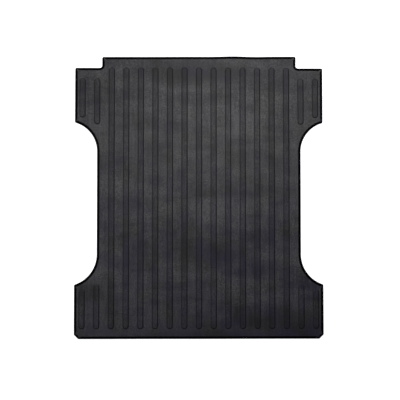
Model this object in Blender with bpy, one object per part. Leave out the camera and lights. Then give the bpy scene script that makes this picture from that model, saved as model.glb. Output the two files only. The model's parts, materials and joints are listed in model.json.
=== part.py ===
"""Truck bed liner: a one-piece moulded rubber mat that lies on a pickup's bed floor.

Metres, +Z up, +Y towards the cab, +X to the truck's right. The origin is on the bed floor,
under the middle of the mat. The mat is one moulding: a sheet with a tapered rim, raised ribs
on top and short nibs underneath. It has no other pieces and no joints.
"""

import math

import bmesh
import bpy
import numpy as np

# ---- Driving dimensions (metres, degrees) ----

# Plan of the sheet
LENGTH = 1.748  # cab edge to tailgate edge
WIDTH = 1.538  # across the corners, outside the wheelhouses
WHEELHOUSE_SPACING = 1.262  # width of the waist between the wheelhouses
TONGUE_WIDTH = 1.204  # width of the tongue at the cab end
TONGUE_DEPTH = 0.071  # how far the tongue stands ahead of the shoulders beside it
FRONT_ARCH_SETBACK = 0.593  # cab edge to the middle of the front wheelhouse curve
REAR_ARCH_SETBACK = 0.520  # tailgate edge to the middle of the rear wheelhouse curve
FRONT_ARCH_RADIUS = 0.186
REAR_ARCH_RADIUS = 0.195
TAIL_CORNER_CUT = 0.027  # each leg of the diagonal cut across a tail corner
TONGUE_ROOT_RADIUS = 0.015  # the inward corners beside the tongue

# Heights
NIB_HEIGHT = 0.0025
SHEET_THICKNESS = 0.0065
RIB_HEIGHT = 0.0030

# Rim
RIM_WIDTH = 0.009  # plan width of the taper round the edge
RIM_LAND = 0.003  # height of the upright edge below the taper
TOP_CORNER_RADIUS = 0.001  # of the flat top's outward corners, inside the taper

# Ribs
RIB_PITCH = 0.0902
RIB_WIDTH = 0.034  # at the foot
RIB_DRAFT = 0.00275  # how much narrower each side of a rib is at the top
RIB_FOOT = 0.0005  # upright part of a rib's wall
RIB_SIDE_MARGIN = 0.025  # least land between a rib and the edge beside it
CAB_MARGIN = 0.0685  # land ahead of the long ribs
TAIL_MARGIN = 0.0627  # land behind all the ribs
SHOULDER_MARGIN = 0.065  # land ahead of the short ribs
FRONT_ARCH_GAPS = (0.061, 0.046)  # short ribs to the wheelhouse curve, innermost and outermost
REAR_ARCH_GAPS = (0.068, 0.043)

# Nibs
NIB_PITCH = 0.100
NIB_TIP_RADIUS = 0.007
NIB_DRAFT = 0.002  # how much wider a nib is where it meets the sheet
NIB_EDGE_MARGIN = 0.015  # least distance from a nib to the edge

# Smoothness and joining
ARCH_SEGMENTS = 20
CORNER_SEGMENTS = 6
RIB_END_SEGMENTS = 8
NIB_SIDES = 6
ROOT = 0.0015  # how far ribs and nibs reach into the sheet, so that they join it
WELD_DISTANCE = 0.00001
SMOOTH_ANGLE = math.radians(30)
SAME_PLANE = 0.999  # cosine that picks the faces that look straight up

# ---- Places worked out from them ----

HALF_LENGTH = LENGTH / 2
HALF_WIDTH = WIDTH / 2
HALF_WAIST = WHEELHOUSE_SPACING / 2
HALF_TONGUE = TONGUE_WIDTH / 2
CORNER_RADIUS = RIM_WIDTH + TOP_CORNER_RADIUS  # all outward corners
SHOULDER_Y = HALF_LENGTH - TONGUE_DEPTH
FRONT_ARCH = (HALF_WAIST + FRONT_ARCH_RADIUS, HALF_LENGTH - FRONT_ARCH_SETBACK)
REAR_ARCH = (HALF_WAIST + REAR_ARCH_RADIUS, REAR_ARCH_SETBACK - HALF_LENGTH)
SHEET_BOTTOM = NIB_HEIGHT
SHEET_TOP = SHEET_BOTTOM + SHEET_THICKNESS
RIB_TOP = SHEET_TOP + RIB_HEIGHT

RUBBER_COLOUR = (0.040, 0.042, 0.046, 1.0)
RUBBER_ROUGHNESS = 0.8


# ---- Plan curves ----


def arc(centre, radius, start, end, segments):
    """Points on a circle from one angle to another, in degrees, with both ends."""
    angles = np.radians(np.linspace(start, end, segments + 1))
    return np.column_stack((centre[0] + radius * np.cos(angles), centre[1] + radius * np.sin(angles)))


def arch_with_corner(arch, radius, towards):
    """A wheelhouse curve from the waist out to the side, and the small corner that ends it.

    towards is 1 for the curve that runs to the cab end and -1 for the one that runs to the
    tail. The corner's circle touches the side from inside and the wheelhouse circle from outside.
    """
    corner_x = HALF_WIDTH - CORNER_RADIUS
    rise = math.sqrt((radius + CORNER_RADIUS) ** 2 - (arch[0] - corner_x) ** 2)
    corner = (corner_x, arch[1] + towards * rise)
    bearing = math.degrees(math.atan2(towards * rise, corner_x - arch[0]))
    curve = arc(arch, radius, towards * 180, bearing, ARCH_SEGMENTS)
    facing = bearing - towards * 180
    rounding = arc(corner, CORNER_RADIUS, facing, 0, CORNER_SEGMENTS)
    return np.vstack((curve, rounding[1:]))


def tail_corner():
    """The diagonal cut across the right tail corner, with both of its ends rounded."""
    radius = CORNER_RADIUS
    reach = TAIL_CORNER_CUT + radius * math.tan(math.radians(45 / 2))
    tail_end = (HALF_WIDTH - reach, radius - HALF_LENGTH)
    side_end = (HALF_WIDTH - radius, reach - HALF_LENGTH)
    return np.vstack(
        (
            arc(tail_end, radius, -90, -45, CORNER_SEGMENTS // 2),
            arc(side_end, radius, -45, 0, CORNER_SEGMENTS // 2),
        )
    )


def sheet_outline():
    """The edge of the mat, counter-clockwise, from the middle of the tail edge."""
    corner = CORNER_RADIUS
    root = TONGUE_ROOT_RADIUS
    right = np.vstack(
        (
            tail_corner(),
            arch_with_corner(REAR_ARCH, REAR_ARCH_RADIUS, -1)[::-1],
            arch_with_corner(FRONT_ARCH, FRONT_ARCH_RADIUS, 1),
            arc((HALF_WIDTH - corner, SHOULDER_Y - corner), corner, 0, 90, CORNER_SEGMENTS),
            arc((HALF_TONGUE + root, SHOULDER_Y + root), root, 270, 180, CORNER_SEGMENTS),
            arc((HALF_TONGUE - corner, HALF_LENGTH - corner), corner, 0, 90, CORNER_SEGMENTS),
        )
    )
    return np.vstack((right, right[::-1] * (-1, 1)))


def rib_outline(x, back, front):
    """A long rounded slot: two half circles, one at each end."""
    radius = RIB_WIDTH / 2
    return np.vstack(
        (
            arc((x, front - radius), radius, 0, 180, RIB_END_SEGMENTS),
            arc((x, back + radius), radius, 180, 360, RIB_END_SEGMENTS),
        )
    )


def columns_between(inner, outer):
    """Rib columns, as whole pitches from the middle, that lie beyond inner and within outer."""
    reach = int(outer / RIB_PITCH) + 1
    return [step for step in range(reach) if inner < step * RIB_PITCH + RIB_WIDTH / 2 <= outer]


def beside_arch(x, arch, radius, gap, towards):
    """Where a rib at x ends so that its round end stays this far from the wheelhouse curve."""
    distance = radius + gap + RIB_WIDTH / 2
    rise = math.sqrt(max(0.0, distance**2 - (arch[0] - x) ** 2))
    return arch[1] + towards * (rise - RIB_WIDTH / 2)


def rib_spans():
    """(x, back end, front end) of each rib on the middle line and to the right of it."""
    tail = TAIL_MARGIN - HALF_LENGTH
    long_limit = min(HALF_WAIST, HALF_TONGUE) - RIB_SIDE_MARGIN
    spans = [
        (step * RIB_PITCH, tail, HALF_LENGTH - CAB_MARGIN)
        for step in columns_between(0, long_limit)
    ]
    short = columns_between(long_limit, HALF_WIDTH - RIB_SIDE_MARGIN)
    front_gaps = np.linspace(*FRONT_ARCH_GAPS, len(short))
    rear_gaps = np.linspace(*REAR_ARCH_GAPS, len(short))
    for step, front_gap, rear_gap in zip(short, front_gaps, rear_gaps):
        x = step * RIB_PITCH
        front_start = beside_arch(x, FRONT_ARCH, FRONT_ARCH_RADIUS, front_gap, 1)
        rear_end = beside_arch(x, REAR_ARCH, REAR_ARCH_RADIUS, rear_gap, -1)
        spans.append((x, front_start, SHOULDER_Y - SHOULDER_MARGIN))
        spans.append((x, tail, rear_end))
    return [span for span in spans if span[2] - span[1] > RIB_WIDTH]


def rib_outlines():
    """Every rib's outline: those on the right, and their mirror images on the left."""
    outlines = []
    for x, back, front in rib_spans():
        sides = (x, -x) if x else (x,)
        outlines.extend(rib_outline(side, back, front) for side in sides)
    return outlines


def is_inside(points, outline, margin):
    """Which points lie within the outline and at least a margin from it."""
    start = outline[None, :, :]
    step = np.roll(outline, -1, axis=0)[None, :, :] - start
    offset = points[:, None, :] - start
    along = np.clip((offset * step).sum(axis=2) / (step**2).sum(axis=2), 0, 1)
    distance = np.linalg.norm(offset - along[:, :, None] * step, axis=2).min(axis=1)
    above_start = offset[:, :, 1] >= 0
    above_end = offset[:, :, 1] >= step[:, :, 1]
    left_of_edge = step[:, :, 0] * offset[:, :, 1] - step[:, :, 1] * offset[:, :, 0]
    crossings = (above_start != above_end) & ((left_of_edge > 0) == (step[:, :, 1] > 0))
    return (crossings.sum(axis=1) % 2 == 1) & (distance >= margin)


def nib_centres(outline):
    """A triangular grid of nibs with one on the origin, kept clear of the edge."""
    row_pitch = NIB_PITCH * math.sin(math.radians(60))
    rows = int(HALF_LENGTH / row_pitch)
    columns = int(HALF_WIDTH / NIB_PITCH) + 1
    grid = [
        ((column + (row % 2) / 2) * NIB_PITCH, row * row_pitch)
        for row in range(-rows, rows + 1)
        for column in range(-columns, columns + 1)
    ]
    points = np.array(grid)
    return points[is_inside(points, outline, NIB_TIP_RADIUS + NIB_DRAFT + NIB_EDGE_MARGIN)]


# ---- Solids ----


def extruded(name, outlines, bottom, top, collection):
    """A mesh with these outlines, from a filled flat curve extruded between two heights."""
    curve = bpy.data.curves.new(name, "CURVE")
    curve.dimensions = "2D"
    curve.fill_mode = "BOTH"
    curve.extrude = (top - bottom) / 2
    for outline in outlines:
        spline = curve.splines.new("POLY")
        spline.points.add(len(outline) - 1)
        places = np.column_stack((outline, np.zeros(len(outline)), np.ones(len(outline))))
        spline.points.foreach_set("co", places.ravel())
        spline.use_cyclic_u = True
    flat = bpy.data.objects.new(name + "_curve", curve)
    flat.location.z = (top + bottom) / 2
    collection.objects.link(flat)
    bpy.context.view_layer.update()
    graph = bpy.context.evaluated_depsgraph_get()
    mesh = bpy.data.meshes.new_from_object(flat.evaluated_get(graph))
    mesh.name = name
    solid = bpy.data.objects.new(name, mesh)
    solid.matrix_world = flat.matrix_world.copy()
    collection.objects.link(solid)
    bpy.data.objects.remove(flat)
    bpy.data.curves.remove(curve)
    shape = bmesh.new()
    shape.from_mesh(mesh)
    bmesh.ops.remove_doubles(shape, verts=shape.verts, dist=WELD_DISTANCE)
    bmesh.ops.recalc_face_normals(shape, faces=shape.faces)
    shape.to_mesh(mesh)
    shape.free()
    return solid


def raise_top(solid, draft, rise):
    """Lift the top face of each block, drawn in all round, which leaves a sloping band."""
    shape = bmesh.new()
    shape.from_mesh(solid.data)
    tops = [face for face in shape.faces if face.normal.z > SAME_PLANE]
    tops = bmesh.ops.dissolve_faces(shape, faces=tops)["region"]
    bmesh.ops.inset_region(
        shape, faces=tops, thickness=draft, depth=rise, use_boundary=True, use_even_offset=True
    )
    shape.to_mesh(solid.data)
    shape.free()


def nib_cones(name, centres, collection):
    """All the nibs as truncated cones, tips on the floor and roots inside the sheet."""
    height = NIB_HEIGHT + ROOT
    root_radius = NIB_TIP_RADIUS + NIB_DRAFT * height / NIB_HEIGHT
    mesh = bpy.data.meshes.new(name)
    shape = bmesh.new()
    for x, y in centres:
        cone = bmesh.ops.create_cone(
            shape,
            cap_ends=True,
            segments=NIB_SIDES,
            radius1=NIB_TIP_RADIUS,
            radius2=root_radius,
            depth=height,
        )
        bmesh.ops.translate(shape, verts=cone["verts"], vec=(x, y, height / 2))
    shape.to_mesh(mesh)
    shape.free()
    nibs = bpy.data.objects.new(name, mesh)
    collection.objects.link(nibs)
    return nibs


def join(body, addition):
    """Union the body with a helper, which then shows only as wire."""
    union = body.modifiers.new("join_" + addition.name, "BOOLEAN")
    union.operation = "UNION"
    union.solver = "EXACT"
    union.object = addition
    addition.hide_render = True
    addition.display_type = "WIRE"


def rubber():
    """Black moulded rubber, dull all over."""
    material = bpy.data.materials.new("moulded_rubber")
    material.use_nodes = True
    shader = material.node_tree.nodes["Principled BSDF"]
    shader.inputs["Base Color"].default_value = RUBBER_COLOUR
    shader.inputs["Roughness"].default_value = RUBBER_ROUGHNESS
    shader.inputs["Metallic"].default_value = 0.0
    return material


def bed_mat(parts, helpers):
    """The whole moulding: sheet and rim, then ribs, then nibs, joined as one body."""
    outline = sheet_outline()
    mat = extruded("bed_mat", [outline], SHEET_BOTTOM, SHEET_BOTTOM + RIM_LAND, parts)
    raise_top(mat, RIM_WIDTH, SHEET_THICKNESS - RIM_LAND)
    foot_top = SHEET_TOP + RIB_FOOT
    ribs = extruded("ribs", rib_outlines(), SHEET_TOP - ROOT, foot_top, helpers)
    raise_top(ribs, RIB_DRAFT, RIB_TOP - foot_top)
    nibs = nib_cones("nibs", nib_centres(outline), helpers)
    join(mat, ribs)
    join(mat, nibs)
    mat.data.shade_smooth()
    mat.data.set_sharp_from_angle(angle=SMOOTH_ANGLE)
    mat.data.materials.append(rubber())
    return mat


def main():
    for old in list(bpy.data.objects):
        bpy.data.objects.remove(old)
    parts = bpy.data.collections.new("truck_bed_liner")
    helpers = bpy.data.collections.new("joined_shapes")
    for collection in (parts, helpers):
        bpy.context.scene.collection.children.link(collection)
    helpers.hide_render = True
    bed_mat(parts, helpers)


main()
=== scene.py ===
# %% [markdown]
# # A ribbed rubber mat for a pickup's bed
#
# The object is one moulding of black rubber: a sheet with a tongue at the cab end, a cut-out
# round each wheelhouse, raised ribs on top, a thin trimmed rim and short nibs underneath.
# The CAD node already has the right sizes, but its edges are hard and its surface is plain.
# This script makes the fine surface of the same mat, in the same place, from a few formulas.
#
# Everything is in metres. +Y points to the cab, +X to the truck's right and +Z up.

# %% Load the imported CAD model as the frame
import json
import math

import bpy
import numpy as np
from mathutils import Matrix, Vector
from mathutils.geometry import delaunay_2d_cdt


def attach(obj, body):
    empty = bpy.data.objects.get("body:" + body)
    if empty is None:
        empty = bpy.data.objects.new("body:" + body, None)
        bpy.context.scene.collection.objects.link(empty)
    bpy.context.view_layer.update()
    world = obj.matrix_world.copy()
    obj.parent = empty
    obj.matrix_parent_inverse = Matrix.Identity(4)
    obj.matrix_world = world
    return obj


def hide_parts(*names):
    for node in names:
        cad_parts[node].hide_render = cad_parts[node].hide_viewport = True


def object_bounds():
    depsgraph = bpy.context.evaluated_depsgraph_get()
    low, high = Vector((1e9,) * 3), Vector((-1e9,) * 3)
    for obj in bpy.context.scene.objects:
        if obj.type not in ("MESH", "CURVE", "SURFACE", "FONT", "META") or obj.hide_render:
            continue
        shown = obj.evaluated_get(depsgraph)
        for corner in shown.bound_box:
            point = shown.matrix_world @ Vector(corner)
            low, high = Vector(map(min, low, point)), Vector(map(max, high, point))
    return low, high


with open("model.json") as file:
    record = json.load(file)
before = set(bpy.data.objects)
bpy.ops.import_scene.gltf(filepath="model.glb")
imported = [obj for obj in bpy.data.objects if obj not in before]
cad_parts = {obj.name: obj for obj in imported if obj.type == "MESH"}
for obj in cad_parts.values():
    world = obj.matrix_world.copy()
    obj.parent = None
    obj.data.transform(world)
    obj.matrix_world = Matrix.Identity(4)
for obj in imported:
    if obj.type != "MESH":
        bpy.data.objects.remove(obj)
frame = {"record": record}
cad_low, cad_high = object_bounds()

scene = bpy.context.scene
print("CAD box:", [round(side, 4) for side in cad_high - cad_low])

# %% [markdown]
# ## Sizes
#
# The overall sizes are read from the CAD box, and the waist, the floor and the rib tops from
# the record's mounts, so they can't drift from the solid. The other sizes are the mat's own and
# are given here: rib pitch, radii and margins.

# %% Sizes from the frame, and the mat's own measures
mounts = {mount["name"]: mount["pos_m"] for mount in frame["record"]["mounts"]}

half_width = cad_high.x
half_length = cad_high.y
half_waist = mounts["right_wheelhouse_edge"][0]
rib_top = mounts["cargo_face"][2]

rib_height = 0.0030
sheet_thickness = 0.0065
sheet_top = rib_top - rib_height
sheet_bottom = sheet_top - sheet_thickness

tongue_half = 0.602
shoulder_y = half_length - 0.071
front_arch_radius = 0.186
rear_arch_radius = 0.195
front_arch = (half_waist + front_arch_radius, half_length - 0.593)
rear_arch = (half_waist + rear_arch_radius, 0.520 - half_length)
corner_radius = 0.010
tail_cut = 0.027
root_radius = 0.015

rib_pitch = 0.0902
rib_half = 0.017
cab_margin = 0.0685
tail_margin = 0.0627
shoulder_margin = 0.065
print(f"sheet from z {sheet_bottom:.4f} to {sheet_top:.4f}, ribs to {rib_top:.4f}")

# %% [markdown]
# ## The edge as a path
#
# A mat's edge is straight runs and arcs. Each arc is stored as points and as unit normals
# that point out of the rubber, because with both, a curve parallel to the edge is only
# `point - inset * normal`. That is how the rim, and later each rib's wall, gets its profile:
# a bevel tool could round the edge, but it could not give a wide, shallow taper.
#
# An outward corner turns with its normal away from the arc's centre. An inward curve, such as
# a wheelhouse, turns the other way, and its normal points at the centre.


# %% Arcs and straight runs
same_place = 1e-7


def arc(centre, radius, start, end, spacing=0.004, least_steps=8):
    """Points centre + radius * (cos, sin) for angles from start to end in degrees, with normals.

    The normal is (cos, sin) where the angle grows, which is an outward corner, and its
    opposite where the angle falls, which is an inward curve.
    """
    count = max(least_steps, int(abs(math.radians(end - start)) * radius / spacing))
    angle = np.radians(np.linspace(start, end, count + 1))
    direction = np.column_stack((np.cos(angle), np.sin(angle)))
    return np.array(centre) + radius * direction, direction * np.sign(end - start)


def closed_path(arcs, spacing):
    """Join arcs into a closed loop and split its long runs into steps no longer than spacing.

    Each step is a straight blend of its two ends, for the points and for the normals alike.
    """
    points = np.vstack([points for points, _ in arcs])
    normals = np.vstack([normals for _, normals in arcs])
    step = np.roll(points, -1, axis=0) - points
    length = np.hypot(step[:, 0], step[:, 1])
    keep = length > same_place
    points, normals, length = points[keep], normals[keep], length[keep]
    parts = np.ceil(length / spacing).astype(int)
    index = np.repeat(np.arange(len(parts)), parts)
    first = np.repeat(np.cumsum(parts) - parts, parts)
    blend = ((np.arange(len(index)) - first) / parts[index])[:, None]
    after = (index + 1) % len(parts)
    return tuple(field[index] * (1 - blend) + field[after] * blend for field in (points, normals))


# %% [markdown]
# ### The mat's own edge
#
# Only the right half is written down, from the tail to the cab. A wheelhouse is one large arc
# that runs into a small rounded corner. Two circles that touch have their centres as far apart
# as their radii add up to, and Pythagoras then gives the corner's place. The left half is the
# same arcs mirrored, in the order that keeps the loop's direction.


# %% Wheelhouse curves and the whole edge
def arch_arcs(arch, radius, towards):
    """A wheelhouse curve and the small corner at its outer end, for the cab (1) or the tail (-1)."""
    corner_x = half_width - corner_radius
    rise = math.sqrt((radius + corner_radius) ** 2 - (arch[0] - corner_x) ** 2)
    bearing = math.degrees(math.atan2(towards * rise, corner_x - arch[0]))
    corner = (corner_x, arch[1] + towards * rise)
    opposite = bearing - towards * 180
    if towards > 0:
        return [arc(arch, radius, 180, bearing), arc(corner, corner_radius, opposite, 0)]
    return [arc(corner, corner_radius, 0, opposite), arc(arch, radius, bearing + 360, 180)]


def mirrored(arcs):
    """The same arcs on the other side of the middle plane, in the order that keeps one direction."""
    return [(points[::-1] * (-1, 1), normals[::-1] * (-1, 1)) for points, normals in arcs[::-1]]


cut_reach = tail_cut + corner_radius * math.tan(math.radians(45 / 2))
right_edge = [
    arc((half_width - cut_reach, corner_radius - half_length), corner_radius, -90, -45),
    arc((half_width - corner_radius, cut_reach - half_length), corner_radius, -45, 0),
    *arch_arcs(rear_arch, rear_arch_radius, -1),
    *arch_arcs(front_arch, front_arch_radius, 1),
    arc((half_width - corner_radius, shoulder_y - corner_radius), corner_radius, 0, 90),
    arc((tongue_half + root_radius, shoulder_y + root_radius), root_radius, 270, 180),
    arc((tongue_half - corner_radius, half_length - corner_radius), corner_radius, 0, 90),
]
edge = closed_path(right_edge + mirrored(right_edge), spacing=0.02)
print("edge path:", len(edge[0]), "points")

# %% [markdown]
# ## Where the ribs run
#
# The ribs stand on whole pitches from the middle. Those that pass between the wheelhouses run
# from end to end. The outer two columns stop short of the wheelhouses, and their inner ends
# keep a chosen distance from the wheelhouse curve, so they step back as the curve does.


# %% The ribs' spans
def beside_arch(x, arch, radius, gap, towards):
    """Where a rib's round end has this gap to the wheelhouse circle: Pythagoras on the two centres."""
    reach = radius + gap + rib_half
    return arch[1] + towards * (math.sqrt(reach**2 - (arch[0] - x) ** 2) - rib_half)


tail_line = tail_margin - half_length
cab_line = half_length - cab_margin
long_columns = np.arange(-6, 7) * rib_pitch
rib_spans = [(x, tail_line, cab_line) for x in long_columns]
short_columns = ((7, 0.061, 0.068), (8, 0.046, 0.043))
for column, front_gap, rear_gap in short_columns:
    x = column * rib_pitch
    front_start = beside_arch(x, front_arch, front_arch_radius, front_gap, 1)
    rear_end = beside_arch(x, rear_arch, rear_arch_radius, rear_gap, -1)
    for side in (-x, x):
        rib_spans.append((side, front_start, shoulder_y - shoulder_margin))
        rib_spans.append((side, tail_line, rear_end))
rib_spans = np.array(rib_spans)


def rib_path(x, back, front):
    """A rounded slot: two half circles with straight runs between them."""
    ends = [
        arc((x, front - rib_half), rib_half, 0, 180, spacing=0.003),
        arc((x, back + rib_half), rib_half, 180, 360, spacing=0.003),
    ]
    return closed_path(ends, spacing=0.025)


ribs = [rib_path(*span) for span in rib_spans]
print(len(ribs), "ribs, the longest", round(float(np.ptp(rib_spans[:, 1:], axis=1).max()), 3), "m")

# %% [markdown]
# ## Profiles
#
# A profile is a short line in the plane across the edge: how far in from the edge, how high,
# and what the surface is like there. Sharp corners catch no light and look like paper, so
# each corner is rounded with a quadratic curve, as a worn mould would leave it.
#
# Three marks travel with each profile point. The first is 1 where the rubber is bare and black,
# on the walls, the rim and a thin strip of sheet by each rib's foot, and 0 where it has a grey
# bloom; that black is partly the rubber's own and partly painted shade of the walls, the feet
# and the edge. `polish` is 1 on the ribs, which are smooth, and 0 on the pebbled sheet. `rim` is
# 1 on the faces that get the rim's material.


# %% Rounded profiles
def rounded(corners, radius, steps=3):
    """Replace each inner corner by the curve (1-t)^2 A + 2t(1-t) B + t^2 C.

    B is the corner, and A and C lie on its two sides, a radius away or at half a short side.
    Every column of the corners is blended alike, so marks travel with the shape.
    """
    corners = np.array(corners, float)
    rows = [corners[:1]]
    t = np.linspace(0, 1, steps + 1)[:, None]
    for before, corner, after in zip(corners[:-2], corners[1:-1], corners[2:]):
        ends = []
        for other in (before, after):
            length = np.hypot(*(other - corner)[:2])
            ends.append(corner + (other - corner) * min(radius / length, 0.5))
        rows.append((1 - t) ** 2 * ends[0] + 2 * t * (1 - t) * corner + t**2 * ends[1])
    rows.append(corners[-1:])
    return np.vstack(rows)


# %% [markdown]
# ### The rim's and a rib's profile
#
# The rim stands upright for 3 mm and then tapers to the sheet, and its smooth black band goes
# on a little over the flat, as painted shade that draws the mat's dark outline. A rib's wall
# leans in, for the mould to let go, and its foot and shoulder are rounded. The bare black,
# painted shade of the wall and of a soft line along its foot, starts on the sheet just outside
# the foot and ends just over the shoulder.

# %% The two profiles
rim_land = 0.003
rim_width = 0.0088
rim_band_width = 0.0158
# inset, height, bare black and painted shade, polish, rim
rim_profile = np.vstack(
    (
        [(0.0, sheet_bottom, 1, 0, 1)],
        rounded(
            [
                (0.0, sheet_bottom + 0.0004, 1, 0, 1),
                (0.0, sheet_bottom + rim_land, 1, 0, 1),
                (rim_width, sheet_top, 1, 0, 1),
                (rim_width + 0.0006, sheet_top, 1, 0, 1),
            ],
            radius=0.0012,
        ),
        [(rim_band_width, sheet_top, 1, 0, 1), (rim_band_width + 0.0006, sheet_top, 0, 0, 0)],
    )
)
draft = 0.00275
# the first mark's black, from just outside the foot to the shoulder, is painted shade
rib_profile = np.vstack(
    (
        [(-0.0040, sheet_top, 0, 0, 0)],
        rounded(
            [
                (-0.0018, sheet_top, 1, 0, 0),
                (0.0002, sheet_top, 1, 0.3, 0),
                (draft, rib_top, 1, 0.7, 0),
                (draft + 0.0012, rib_top, 0.25, 1, 0),
            ],
            radius=0.0011,
        ),
        [(draft + 0.0030, rib_top, 0, 1, 0)],
    )
)
print("rim profile:", len(rim_profile), "points; rib profile:", len(rib_profile))

# %% [markdown]
# ## Sweeping a profile along a path
#
# The surface is a function of two parameters, i along the path and j across the profile:
# `P(i, j) = path_i - inset_j * normal_i`, at the profile's height. All points come out of one
# numpy expression. The faces join each cell of that grid to the next, and the path's last
# column to its first, so the band closes on itself.


# %% A band from a path and a profile
corner_rest = 0.0005
band_slack = 0.001
tight_inset = corner_radius - corner_rest
tight_share = 0.05


def room(path):
    """tight_share on outward corners tighter than the rim's band, where step / turn is the radius."""
    points, normals = path
    step = np.hypot(*(np.roll(points, -1, axis=0) - points).T)
    after = np.roll(normals, -1, axis=0)
    turn = normals[:, 0] * after[:, 1] - normals[:, 1] * after[:, 0]
    tight = step < turn * (rim_band_width + band_slack)
    return np.where(tight | np.roll(tight, 1), tight_share, 1.0)


def parallel(path, inset):
    """The plan curves path - inset * normal. A tight corner's radius nearly stops the inset."""
    points, normals = path
    inset = np.atleast_1d(inset)
    beyond = np.clip(inset - tight_inset, 0, None)
    depth = np.minimum(inset, tight_inset) + beyond * room(path)[:, None]
    return (points[:, None, :] - depth[:, :, None] * normals[:, None, :]).squeeze()


def band(path, profile):
    """The grid P(i, j), its marks, and quads that wind counter-clockwise as seen from outside."""
    plan = parallel(path, profile[:, 0])
    height = np.broadcast_to(profile[None, :, 1:2], plan.shape[:2] + (1,))
    marks = np.broadcast_to(profile[None, :, 2:], plan.shape[:2] + (profile.shape[1] - 2,))
    grid = np.arange(plan.shape[0] * plan.shape[1]).reshape(plan.shape[:2])
    along = np.roll(grid, -1, axis=0)
    quads = np.stack((grid[:, :-1], along[:, :-1], along[:, 1:], grid[:, 1:]), axis=-1)
    rows = np.concatenate((plan, height, marks), axis=-1).reshape(-1, profile.shape[1] + 1)
    return rows, quads.reshape(-1, 4)


# %% [markdown]
# ### Painted wall shade
#
# The walls' black is painted shade, set by how each wall faces the lights. The walls that face
# the tail, away from the key light at the cab end, are painted darkest, and the walls that face
# the cab are painted lighter, keeping most of their bloom. On the long sides the right-hand wall
# is painted a little darker than the left, since the side light is on the left.

# %% The bands of the rim and the ribs
# how much of the painted wall shade each wall gets, by which way it faces the lights
wall_share = 0.90
right_wall_shade = 0.15
cab_wall_light = 0.80
tail_wall_shade = 0.15


def painted_wall_shade(path, rows):
    """The rows with their bare black mark times a share that turns with the wall's normal (nx, ny), so
    that it paints shade on the walls that face away from the lights.

    The share is wall_share + right_wall_shade * nx - k * ny, and k is cab_wall_light where the wall
    faces the cab and tail_wall_shade where it faces the tail.
    """
    facing_right, facing_cab = path[1].T
    share = wall_share + right_wall_shade * facing_right
    share = share - np.where(facing_cab > 0, cab_wall_light, tail_wall_shade) * facing_cab
    rows[:, 3] *= np.repeat(share, len(rows) // len(share))
    return rows


rim_band = band(edge, rim_profile)
rib_bands = [band(rib, rib_profile) for rib in ribs]
rib_bands = [(painted_wall_shade(rib, rows), quads) for rib, (rows, quads) in zip(ribs, rib_bands)]
print("rim quads:", len(rim_band[1]), " rib wall quads:", sum(len(quads) for _, quads in rib_bands))

# %% [markdown]
# ## Filling the flat fields
#
# The sheet between the ribs is flat, but it isn't a grid: it has an edge with arcs and 21
# slots. Blender's own Delaunay triangulation fills such a region exactly up to its loops.
# Loose points inside it keep the triangles small, so that the sheet can be bent a little
# later. Triangles in the slots or outside the edge are dropped by where their centres lie.


# %% Which points lie where
def inside_loop(points, loop):
    """Crossing test: a ray towards +X crosses the loop an odd number of times from inside."""
    start, end = loop[None], np.roll(loop, -1, axis=0)[None]
    x, y = points[:, None, 0], points[:, None, 1]
    straddles = (start[..., 1] > y) != (end[..., 1] > y)
    rise = np.where(end[..., 1] == start[..., 1], 1.0, end[..., 1] - start[..., 1])
    crossing = start[..., 0] + (y - start[..., 1]) / rise * (end[..., 0] - start[..., 0])
    return (straddles & (x < crossing)).sum(axis=1) % 2 == 1


def rib_distance(points):
    """Distance from each point to the nearest rib's middle line."""
    x, back, front = (column[None] for column in rib_spans.T)
    nearest_y = np.clip(points[:, 1:2], back + rib_half, front - rib_half)
    return np.hypot(points[:, :1] - x, points[:, 1:2] - nearest_y).min(axis=1)


def triangular_grid(pitch, low, high):
    """Points on equilateral triangles, with one on the origin."""
    row_pitch = pitch * math.sin(math.radians(60))
    rows = np.arange(math.ceil(low[1] / row_pitch), math.floor(high[1] / row_pitch) + 1)
    columns = np.arange(math.floor(low[0] / pitch), math.ceil(high[0] / pitch) + 1)
    row, column = np.meshgrid(rows, columns, indexing="ij")
    return np.column_stack(
        (((column + (row % 2) / 2) * pitch).ravel(), (row * row_pitch).ravel())
    )


# %% [markdown]
# ### Triangles between loops
#
# The triangulation takes all the points, and each loop's steps as borders that no triangle may
# cross. It also fills what lies outside the region, so the caller says which centres it wants.
# Its triangles may turn either way, and the sign of the cross product of two sides tells which.


# %% Delaunay fill
def fill(loops, loose, wanted):
    """Triangles between the loops, through the loose points, where wanted(centres) is true."""
    counts = np.array([len(loop) for loop in loops])
    first = np.repeat(np.cumsum(counts) - counts, counts)
    index = np.arange(counts.sum())
    after = first + (index - first + 1) % np.repeat(counts, counts)
    points = np.vstack((*loops, loose))
    borders = np.column_stack((index, after)).tolist()
    made = delaunay_2d_cdt([Vector(p) for p in points.tolist()], borders, [], 0, same_place, False)
    if len(made[0]) != len(points):
        raise ValueError("two loops cross, so the triangulation had to add points")
    triangles = np.array(made[2])
    corners = points[triangles]
    across, up = corners[:, 1] - corners[:, 0], corners[:, 2] - corners[:, 0]
    turns_right = across[:, 0] * up[:, 1] < across[:, 1] * up[:, 0]
    triangles[turns_right] = triangles[turns_right][:, ::-1]
    return points, triangles[wanted(corners.mean(axis=1))]


def at_height(plan, height, marks):
    """Rows of x, y, z and marks, as the bands have."""
    constant = np.broadcast_to((height, *marks), (len(plan), 1 + len(marks)))
    return np.hstack((plan, constant))


# %% [markdown]
# ### The sheet and the rib tops
#
# The sheet ends where the rim's band ends, and it has a slot round each rib's foot. The loose
# points keep away from these loops, because a point close to a border makes thin triangles.

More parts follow.
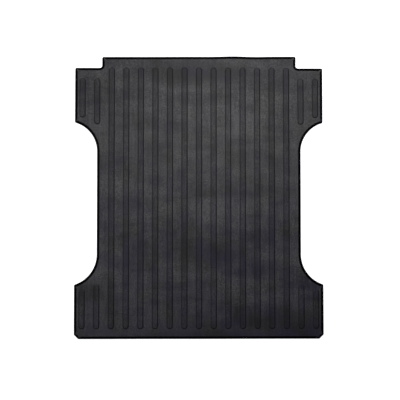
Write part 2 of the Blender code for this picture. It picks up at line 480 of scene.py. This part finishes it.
# %% The two fields
spacing = 0.024
plan_low, plan_high = (-half_width, -half_length), (half_width, half_length)
sheet_loop = parallel(edge, rim_profile[-1, 0])
foot_loops = [parallel(rib, rib_profile[0, 0]) for rib in ribs]
foot_radius = rib_half - rib_profile[0, 0]
loose = triangular_grid(spacing, plan_low, plan_high)
loose = loose[rib_distance(loose) > foot_radius + spacing / 3]
loose = loose[inside_loop(loose, parallel(edge, rim_profile[-1, 0] + spacing / 3))]
sheet_plan, sheet_triangles = fill(
    [sheet_loop, *foot_loops],
    loose,
    lambda centres: inside_loop(centres, sheet_loop) & (rib_distance(centres) > foot_radius),
)
top_loops = [parallel(rib, rib_profile[-1, 0]) for rib in ribs]
top_radius = rib_half - rib_profile[-1, 0]
top_plan, top_triangles = fill(
    top_loops, np.zeros((0, 2)), lambda centres: rib_distance(centres) < top_radius
)
sheet_field = at_height(sheet_plan, sheet_top, (0, 0, 0)), sheet_triangles
rib_fields = at_height(top_plan, rib_top, (0, 1, 0)), top_triangles
print("sheet triangles:", len(sheet_triangles), " rib top triangles:", len(top_triangles))

# %% [markdown]
# ## The underside
#
# Nibs under the mat let water run out and air get in. Each is a short cone with a rounded
# tip, and they stand on a triangular grid. There are hundreds, so each has only a few dozen
# faces: two bands and one flat tip. One call makes them all: the grid's points are added to
# one cone's points by broadcasting.

# %% Nibs
nib_pitch = 0.100
nib_tip = 0.007
nib_root = 0.009
nib_edge_margin = 0.015
nib_sides = 12

centres = triangular_grid(nib_pitch, plan_low, plan_high)
clear_edge = parallel(edge, nib_root + nib_edge_margin)
centres = centres[inside_loop(centres, clear_edge)]
angle = np.arange(nib_sides) * math.tau / nib_sides
circle = np.column_stack((np.cos(angle), np.sin(angle)))
# radius and height of each ring, from the tip up to the root
nib_rings = np.array([(nib_tip - 0.0005, 0.0), (nib_tip + 0.0002, 0.0004), (nib_root, sheet_bottom)])


def nib_band():
    """Point (n, k, s) is centre n plus ring k's radius times direction s, at ring k's height."""
    plan = centres[:, None, None, :] + nib_rings[None, :, None, :1] * circle[None, None]
    height = np.broadcast_to(nib_rings[None, :, None, 1:], plan.shape[:3] + (1,))
    grid = np.arange(plan[..., 0].size).reshape(plan.shape[:3])
    along = np.roll(grid, -1, axis=2)
    quads = np.stack((grid[:, :-1], along[:, :-1], along[:, 1:], grid[:, 1:]), axis=-1)
    rows = np.concatenate((plan, height), axis=-1).reshape(-1, 3)
    marks = np.tile((0.0, 1.0, 0.0), (len(rows), 1))
    tips = grid[:, 0, ::-1]
    return np.hstack((rows, marks)), quads.reshape(-1, 4), tips, plan[:, -1]


nib_rows, nib_quads, nib_tips, nib_loops = nib_band()
print(len(centres), "nibs,", len(nib_quads), "quads")

# %% [markdown]
# ### The flat underside
#
# The underside is filled as the sheet was, with a hole for each nib's root. A root is a polygon,
# and the middles of its sides lie closer to its centre than its corners do.


# %% The underside
def nib_distance(points):
    """Distance from each point to the nearest nib's centre."""
    gap = points[:, None, :] - centres[None]
    return np.sqrt((gap**2).sum(axis=2).min(axis=1))


under_loop = parallel(edge, 0.0)
loose = triangular_grid(spacing, plan_low, plan_high)
loose = loose[nib_distance(loose) > nib_root + spacing / 4]
loose = loose[inside_loop(loose, parallel(edge, spacing / 3))]
nib_inner = nib_root * math.cos(math.pi / nib_sides)
under_plan, under_triangles = fill(
    [under_loop, *nib_loops],
    loose,
    lambda where: inside_loop(where, under_loop) & (nib_distance(where) > nib_inner),
)
under_field = at_height(under_plan, sheet_bottom, (0, 0, 0)), under_triangles[:, ::-1]
print("underside triangles:", len(under_triangles))

# %% [markdown]
# ## One closed surface
#
# The bands and fields share the points along their loops. Rounding the coordinates to a
# hundredth of a millimetre and taking the unique rows welds them, which a merge-by-distance
# would do too, but this way the marks stay in step. A closed surface has exactly two faces
# on every edge, running opposite ways, and the print shows whether it does.


# %% Weld the patches
weld_steps = 1e5  # in a metre


def welded(patches):
    """Unique points by place, every face array renumbered to them, and the points' marks."""
    rows = np.vstack([rows for rows, *_ in patches])
    place = np.round(rows[:, :3] * weld_steps).astype(int)
    starts = np.cumsum([0] + [len(rows) for rows, *_ in patches[:-1]])
    _, first, index = np.unique(place, axis=0, return_index=True, return_inverse=True)
    index = index.reshape(-1)
    faces = [index[faces + start] for start, (_, *kinds) in zip(starts, patches) for faces in kinds]
    return rows[first], faces


def open_edges(faces):
    """How many edges lack a partner that runs the other way."""
    ends = np.vstack([np.stack((f, np.roll(f, -1, axis=1)), -1).reshape(-1, 2) for f in faces])
    size = ends.max() + 1
    forward = ends[:, 0] * size + ends[:, 1]
    backward = ends[:, 1] * size + ends[:, 0]
    return int((~np.isin(forward, backward)).sum()) + len(forward) - len(np.unique(forward))


rows, faces = welded(
    [rim_band, *rib_bands, sheet_field, rib_fields, (nib_rows, nib_quads, nib_tips), under_field]
)
points, marks = rows[:, :3], rows[:, 3:]
print(len(points), "points,", sum(len(f) for f in faces), "faces, open edges:", open_edges(faces))

# %% [markdown]
# ## How the rubber lies
#
# A mat that has been rolled for shipping never lies perfectly flat. A few long, low waves,
# most of them across the roll, and one soft crease are added to every height alike. They keep
# the thickness, and they give the broad change of tone that flat rubber lacks, because a
# tilt of one degree is enough to move the sheen. Their sum is shifted so that its lowest
# point is zero, so no nib sinks into the floor.

# %% Long waves and a crease
# height, wavelength, bearing of the wave in degrees from +X, phase
waves = np.array(
    [
        (0.00170, 0.98, 84, 0.2),
        (0.00055, 0.43, 101, 2.0),
        (0.00055, 0.66, 22, 4.1),
        (0.00028, 0.27, 66, 1.2),
    ]
)
crease_height = 0.0028
crease_width = 0.070
crease_centre = (0.12, -0.205)
crease_slope = 0.18
crease_reach = 0.50


def lay(x, y):
    """Sum over the waves of height * sin(turn * distance along the bearing / length + phase),
    plus the crease, height * exp(-(dy / width)^2 - (dx / reach)^2)."""
    height, length, bearing, phase = waves.T[:, :, None]
    along = np.cos(np.radians(bearing)) * x + np.sin(np.radians(bearing)) * y
    from_middle = x - crease_centre[0]
    across = (y - crease_centre[1] - crease_slope * from_middle) / crease_width
    away = from_middle / crease_reach
    crease = crease_height * np.exp(-(across**2) - away**2)
    return (height * np.sin(math.tau * along / length + phase)).sum(axis=0) + crease


rise = lay(points[:, 0], points[:, 1])
points[:, 2] += rise - rise.min()
print("lay: up to", round(float(np.ptp(rise)) * 1000, 2), "mm")

# %% [markdown]
# ### The cab edge
#
# A mat this soft is never quite straight along a free edge. Its front edge lies a little askew
# and has one low bulge. The shift grows from nothing at the shoulders to its full value at the
# edge, so it stretches the tongue and tears nothing.


# %% A wandering edge
def smooth_step(value, start, end):
    """0 before start, 1 after end, and t^2 (3 - 2t) between them."""
    t = np.clip((value - start) / (end - start), 0, 1)
    return t * t * (3 - 2 * t)


bulge = 0.0026
bulge_x = 0.20
bulge_wave = 0.38
fade_offset = 0.04
fade_reach = 0.16
skew = 0.0045


def wander(x):
    """bulge * cos(turn * dx / wave) * exp(-((dx - offset) / reach)^2) + skew * x, dx = x - bulge_x."""
    from_bulge = x - bulge_x
    fade = np.exp(-(((from_bulge - fade_offset) / fade_reach) ** 2))
    return bulge * np.cos(math.tau * from_bulge / bulge_wave) * fade + skew * x


points[:, 1] += wander(points[:, 0]) * smooth_step(points[:, 1], shoulder_y, half_length)
print("cab edge: up to", round((points[:, 1].max() - half_length) * 1000, 2), "mm ahead of the CAD's")

# %% [markdown]
# ## The mesh
#
# `from_pydata` takes the lists, and each mark becomes a named attribute of the mesh, which the
# material reads back. The piece rides on the CAD's only body and stands in for its only node,
# which is hidden.


# %% Put the surface into a mesh
rim_face_share = 0.4
sharp_angle = math.radians(40)


def mesh_object(name, points, faces, marks):
    """A smooth-shaded mesh whose attributes clean, polish and rim hold the marks."""
    mesh = bpy.data.meshes.new(name)
    mesh.from_pydata(points, [], [face for kind in faces for face in kind.tolist()])
    for column, mark in enumerate(("clean", "polish", "rim")):
        attribute = mesh.attributes.new(mark, "FLOAT", "POINT")
        attribute.data.foreach_set("value", np.ascontiguousarray(marks[:, column], np.float32))
    on_rim = np.concatenate([marks[kind, 2].mean(axis=1) > rim_face_share for kind in faces])
    mesh.polygons.foreach_set("material_index", on_rim.astype(np.int32))
    mesh.shade_smooth()
    mesh.set_sharp_from_angle(angle=sharp_angle)
    made = bpy.data.objects.new(name, mesh)
    scene.collection.objects.link(made)
    return made


mat = mesh_object("moulded_mat", points, faces, marks)
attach(mat, "root")
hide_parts("bed_mat")
print(mat.name, len(mat.data.polygons), "faces")

# %% [markdown]
# ## Shader maths as expressions
#
# A material is a graph of nodes, and a graph is hard to read as code. This small class wraps
# one output socket, so that `mask * 0.5 + grain` adds its Math nodes by itself. Any other node
# comes from `node`, which takes the node's type, its settings, and its inputs.


# %% A socket that does arithmetic
class Field:
    """One number, colour or vector in a material's node tree."""

    def __init__(self, tree, socket=None):
        self.tree = tree
        self.socket = socket

    def node(self, kind, settings=(), inputs=(), output=0):
        """Add a node: its settings first, then a value or a link for each named input."""
        made = self.tree.nodes.new(kind)
        for name, value in dict(settings).items():
            setattr(made, name, value)
        for name, value in dict(inputs).items():
            if isinstance(value, Field):
                self.tree.links.new(value.socket, made.inputs[name])
            else:
                made.inputs[name].default_value = value
        return Field(self.tree, made.outputs[output])

    def maths(self, operation, *values):
        return self.node("ShaderNodeMath", {"operation": operation}, enumerate(values))

    def __add__(self, other):
        return self.maths("ADD", self, other)

    def __sub__(self, other):
        return self.maths("SUBTRACT", self, other)

    def __rsub__(self, other):
        return self.maths("SUBTRACT", other, self)

    def __mul__(self, other):
        return self.maths("MULTIPLY", self, other)

    __radd__ = __add__
    __rmul__ = __mul__

    def ramp(self, low, high, start=0.0, end=1.0):
        """A smooth step from start to end as this value goes from low to high."""
        limits = {"Value": self, "From Min": low, "From Max": high, "To Min": start, "To Max": end}
        return self.node("ShaderNodeMapRange", {"interpolation_type": "SMOOTHSTEP"}, limits)

    def between(self, dark, light):
        """A colour between two colours, by this value."""
        # A Mix node has sockets for every type of data. These are the places of the colour's.
        factor, first, second, result = 0, 6, 7, 2
        inputs = {factor: self, first: dark, second: light}
        return self.node("ShaderNodeMix", {"data_type": "RGBA"}, inputs, output=result)

    def noise(self, scale, detail=2.0, roughness=0.5):
        """Soft noise over this vector."""
        inputs = {"Vector": self, "Scale": scale, "Detail": detail, "Roughness": roughness}
        return self.node("ShaderNodeTexNoise", (), inputs)

    def mapped(self, location=(0, 0, 0), scale=(1, 1, 1)):
        """This vector times the scale, plus the location."""
        inputs = {"Vector": self, "Location": location, "Scale": scale}
        return self.node("ShaderNodeMapping", (), inputs)

    def patch(self, middle, reach):
        """1 in the middle of an ellipse on the plan, falling smoothly to 0 at its edge."""
        location = (-middle[0] / reach[0], -middle[1] / reach[1], 0)
        away = self.mapped(location, (1 / reach[0], 1 / reach[1], 0))
        measure = {"operation": "LENGTH"}
        length = away.node("ShaderNodeVectorMath", measure, {"Vector": away}, output="Value")
        return length.ramp(0.0, 1.0, start=1.0, end=0.0)


# %% [markdown]
# ## The rubber
#
# One compound, with different finishes. The sheet is pebbled, so that cargo doesn't slide, and
# its fine hollows hold a grey bloom. The ribs are smoother and rub clean, so they look darker,
# and their walls are painted darker still, as painted shade. The bloom is cloudy at several
# sizes, as wax that rises out of rubber is: wide clouds lie across the mat, as on rubber that was
# kept rolled, and streaks run along it, the way cargo slides. Whole patches are painted darker,
# as painted shade, most of all at the tail, and a few lighter, as a painted sheen.
#
# Each of these is a noise over the Object coordinates. A Mapping node stretches it: a large
# scale along an axis makes the noise narrow there.

# %% The rubber's colours, clouds and patches
grey_bloom = (0.0820, 0.0823, 0.0790, 1.0)
worn_black = (0.0100, 0.0101, 0.0098, 1.0)
worn_violet = (0.0148, 0.0132, 0.0250, 1.0)
bare_black_and_shade = (0.0030, 0.0030, 0.0036, 1.0)
# stretch in x, y and z, detail, roughness, the ramp's two ends, and the share of the bloom
cloud_kinds = {
    "wide, across the mat": ((1.8, 7.0, 1.0), 3.0, 0.60, 0.34, 0.66, 0.40),
    "patchy": ((10.0, 10.0, 10.0), 4.0, 0.65, 0.36, 0.64, 0.20),
    "long, along the mat": ((14.0, 1.6, 1.0), 3.0, 0.50, 0.30, 0.70, 0.22),
    "brushed": ((75.0, 6.0, 1.0), 3.0, 0.50, 0.32, 0.68, 0.18),
}
# middle x and y, reach in x and y, and how much bloom is taken off there, or left if negative:
# painted shade at the tail, at the cab edge and on the tail side of the crease, and lighter
# patches at the upper right, as a painted sheen, and left of the middle
painted_shade_and_sheen_patches = (
    (0.00, -0.880, 1.10, 0.19, 0.75),
    (0.62, -0.830, 0.52, 0.26, 0.62),
    (0.07, 0.765, 0.75, 0.10, 0.80),
    (0.12, -0.340, 0.38, 0.16, 0.80),
    (-0.10, -0.120, 0.36, 0.13, -0.40),
    (0.30, 0.470, 0.32, 0.32, -0.40),
)
print(len(cloud_kinds), "kinds of cloud,", len(painted_shade_and_sheen_patches), "rubbed patches")


# %% [markdown]
# ### What makes the tone
#
# The tone runs from worn black to grey bloom by one number. Clouds give its broad part and the
# speckle, the bloom caught between pebbles, its grain. A rib loses a share of the bloom and a
# fixed amount more, so that it looks darker than the sheet beside it. Where the bloom is gone
# the black has a violet tint, more of it towards the tail.

# %% Bloom and tint over the mat
bloom_floor = 0.30
rib_loss = 0.30
rib_darkening = 0.09
# the y where the tint's share starts to fall, where it stops, and the share at each
violet_span = (-0.5, 0.4, 1.15, 0.5)


def bloom_over(place, polish):
    """clouds * (bloom_floor + speckle) * (1 - rib_loss * polish) - rib_darkening * polish."""
    clouds = sum(
        share * place.mapped(scale=stretch).noise(1.0, detail, roughness).ramp(low, high)
        for stretch, detail, roughness, low, high, share in cloud_kinds.values()
    )
    # patches of painted shade, and of painted sheen where the darkening is negative
    for x, y, reach_x, reach_y, painted_darkening in painted_shade_and_sheen_patches:
        clouds = clouds * (1 - painted_darkening * place.patch((x, y), (reach_x, reach_y)))
    speckle = place.noise(150.0, detail=3.0, roughness=0.8).ramp(0.38, 0.62)
    return clouds * (bloom_floor + speckle) * (1 - polish * rib_loss) - polish * rib_darkening


def tint_over(place):
    """How violet the worn rubber is: cloudy, and more so towards the tail."""
    towards_cab = place.node("ShaderNodeSeparateXYZ", (), {"Vector": place}, output="Y")
    return place.noise(6.0, detail=3.0).ramp(0.36, 0.58) * towards_cab.ramp(*violet_span)


# %% [markdown]
# ### Gloss and relief
#
# The pebbles are a Voronoi pattern of 4 mm cells, softened by a noise of twice that size, in a
# bump under a millimetre high. The ribs have less of it.

# %% Pebbles and grain
pebble_scale = 240.0
pebble_depth = 0.0008
pebble_share = 0.45
dimple_share = 1.35
fine_share = 0.06
rib_smoothing = 0.30


def relief_over(place, polish):
    """Pebbles and dimples, less of them on the ribs, plus a fine grain everywhere."""
    pebbles = {"Vector": place, "Scale": pebble_scale}
    pebble = place.node("ShaderNodeTexVoronoi", {"feature": "SMOOTH_F1"}, pebbles)
    dimples = place.noise(120.0, detail=2.0, roughness=0.6)
    coarse = (pebble * pebble_share + dimples * dimple_share) * (1 - polish * rib_smoothing)
    return coarse + place.noise(900.0) * fine_share


# %% [markdown]
# ### One shader from all of it
#
# Tone, gloss and relief meet in one Principled shader. The ribs and the walls are a little
# rougher than the sheet, and wax makes cloudy patches a little glossier. The specular level is
# the same all over, and low, so that the tone comes from the surface more than from the lights.

# %% The rubber's material
rubber_specular = 0.27
sheet_roughness = 0.55
rib_roughening = 0.05
wall_roughening = 0.08
wax_gloss = 0.05


def pebbled_rubber():
    """Bloom from clouds, streaks and speckle, with patches of painted shade and sheen, less of it on
    the ribs and none on their walls, whose black is partly painted shade.
    """
    material = bpy.data.materials.new("pebbled_rubber")
    material.use_nodes = True
    tree = material.node_tree
    shader = tree.nodes["Principled BSDF"]
    start = Field(tree)
    place = start.node("ShaderNodeTexCoord", output="Object")
    clean = start.node("ShaderNodeAttribute", {"attribute_name": "clean"}, output="Fac")
    polish = start.node("ShaderNodeAttribute", {"attribute_name": "polish"}, output="Fac")

    worn = tint_over(place).between(worn_black, worn_violet)
    # the walls, the feet and the rim band take the bare black, partly painted shade
    colour = clean.between(bloom_over(place, polish).between(worn, grey_bloom), bare_black_and_shade)
    tree.links.new(colour.socket, shader.inputs["Base Color"])

    # The noise is moved, so that it is unlike the clouds and the wax doesn't follow the bloom.
    waxy = place.mapped(location=(3.0, 7.0, 0.0)).noise(7.0, detail=5.0, roughness=0.6)
    waxy = waxy.ramp(0.34, 0.66)
    roughness = sheet_roughness + polish * rib_roughening - waxy * wax_gloss
    roughness = roughness + clean * wall_roughening
    tree.links.new(roughness.socket, shader.inputs["Roughness"])
    shader.inputs["Specular IOR Level"].default_value = rubber_specular

    relief = {"Strength": 1.0, "Distance": pebble_depth, "Height": relief_over(place, polish)}
    bump = start.node("ShaderNodeBump", (), relief)
    tree.links.new(bump.socket, shader.inputs["Normal"])
    return material


# %% [markdown]
# ## The rim
#
# The rim is smooth, with no pebbles to hold a bloom. It is the blackest part, and it draws a
# fine line round the whole mat: the rubber's own black, made darker still as painted shade of
# the edge. It is a second material on the rim's own faces, because a specular level can't be
# driven by a mask.

# %% The rim's material
# the near-black and the low specular paint the shade of the mat's edge
rim_black_and_shade = (0.0006, 0.0006, 0.0008, 1.0)
rim_scuff = (0.0016, 0.0016, 0.0020, 1.0)
rim_specular = 0.02
grain_depth = 0.0002


def trimmed_rim():
    """Bare black rubber, darkened as painted shade of the edge, with a trace of scuffing and a fine
    mould grain.
    """
    material = bpy.data.materials.new("trimmed_rim")
    material.use_nodes = True
    tree = material.node_tree
    shader = tree.nodes["Principled BSDF"]
    start = Field(tree)
    place = start.node("ShaderNodeTexCoord", output="Object")
    scuff = place.noise(60.0, detail=5.0, roughness=0.7).ramp(0.5, 0.75)
    tree.links.new(scuff.between(rim_black_and_shade, rim_scuff).socket, shader.inputs["Base Color"])
    tree.links.new((0.40 + scuff * 0.15).socket, shader.inputs["Roughness"])
    shader.inputs["Specular IOR Level"].default_value = rim_specular
    grain = {"Strength": 0.2, "Distance": grain_depth, "Height": place.noise(700.0)}
    bump = start.node("ShaderNodeBump", (), grain)
    tree.links.new(bump.socket, shader.inputs["Normal"])
    return material


for finish in (pebbled_rubber, trimmed_rim):
    mat.data.materials.append(finish())
print("materials:", [material.name for material in mat.data.materials])

# %% [markdown]
# ## Floor
#
# The floor is plain and pale, and glows a little, as a light table does, so that it stays
# white while black rubber is exposed to show its detail.

# %% Floor
floor_size = 80.0
floor_gap = 0.0002
bpy.ops.mesh.primitive_plane_add(size=floor_size, location=(0, 0, -floor_gap))
floor = bpy.context.active_object
floor.name = "floor"
pale = bpy.data.materials.new("pale_floor")
pale.use_nodes = True
pale_shader = pale.node_tree.nodes["Principled BSDF"]
floor_look = {
    "Base Color": (0.85, 0.85, 0.85, 1.0),
    "Roughness": 0.9,
    "Specular IOR Level": 0.0,
    "Emission Color": (1.0, 1.0, 1.0, 1.0),
    "Emission Strength": 0.9,
}
for socket_name, value in floor_look.items():
    pale_shader.inputs[socket_name].default_value = value
floor.data.materials.append(pale)
print("floor:", floor_size, "m square")

# %% [markdown]
# ## Light
#
# Black rubber shows what it mirrors. A soft box high over the cab end gives the top its sheen,
# which falls off towards the tail, and a larger one on the left lights the ribs from one side,
# so that their right walls stay dark.


# %% Soft boxes
def soft_box(name, place, target, size, power):
    """A rectangular light at a place, turned so that it shines at the target."""
    light = bpy.data.lights.new(name, "AREA")
    light.shape = "RECTANGLE"
    light.size, light.size_y = size
    light.energy = power
    box = bpy.data.objects.new(name, light)
    box.location = place
    box.rotation_euler = (Vector(target) - Vector(place)).to_track_quat("-Z", "Y").to_euler()
    scene.collection.objects.link(box)
    return box


# name: place, target, size in metres, power in watts
boxes = {
    "key": ((0.26, 0.88, 2.05), (0.2, 0.4, 0.0), (1.0, 0.8), 28),
    "side": ((-2.6, 0.3, 3.6), (0.0, -0.2, 0.0), (1.4, 1.8), 61),
}
for name, lit in boxes.items():
    soft_box(name, *lit)
print("lights:", {name: f"{lit[-1]} W" for name, lit in boxes.items()})

# %% [markdown]
# ### The room
#
# Overhead the room is dim and slightly violet, because a rough black surface picks up its
# colour. Near the horizon it is pale, as a studio's wall is. In a world, the Generated
# coordinate is the direction in which a ray leaves, and its z alone decides the colour.

# %% The room round the mat
pale_wall = (0.70, 0.70, 0.70, 1.0)
dim_ceiling = (0.0470, 0.0405, 0.0900, 1.0)
wall_elevation = 2
ceiling_elevation = 9
# a direction's z is the sine of its elevation
wall_top = math.sin(math.radians(wall_elevation))
ceiling_start = math.sin(math.radians(ceiling_elevation))
room_world = bpy.data.worlds.new("room")
room_world.use_nodes = True
direction = Field(room_world.node_tree).node("ShaderNodeTexCoord", output="Generated")
upward = direction.node("ShaderNodeSeparateXYZ", (), {"Vector": direction}, output="Z")
room_colour = upward.ramp(wall_top, ceiling_start).between(pale_wall, dim_ceiling)
background = room_world.node_tree.nodes["Background"]
room_world.node_tree.links.new(room_colour.socket, background.inputs["Color"])
scene.world = room_world
scene.view_settings.view_transform = "Standard"
print("room: wall up to", wall_elevation, "degrees, ceiling from", ceiling_elevation)

# %% [markdown]
# ## Camera
#
# The camera looks almost straight down from 5 m, so the mat's outline shows undistorted. It
# leans by two degrees towards the tail and one to the left. Straight down, a turn from an
# aiming direction alone could roll either way, so the turn is built from its three axes.

# %% Camera
camera_height = 5.0
view_width = 2.475
aim = Vector((0.0060, -0.0189, sheet_top))
towards_camera = Vector((-0.016, -0.036, 1.0)).normalized()
lens_data = bpy.data.cameras.new("camera")
lens_data.lens = lens_data.sensor_width * camera_height / view_width
camera = bpy.data.objects.new("camera", lens_data)
right = Vector((0.0, 1.0, 0.0)).cross(towards_camera).normalized()
turn = Matrix((right, towards_camera.cross(right), towards_camera)).transposed()
camera.location = aim + towards_camera * camera_height
camera.rotation_euler = turn.to_euler()
scene.collection.objects.link(camera)
scene.camera = camera
print("camera: lens", round(lens_data.lens, 1), "mm, at", [round(v, 3) for v in camera.location])
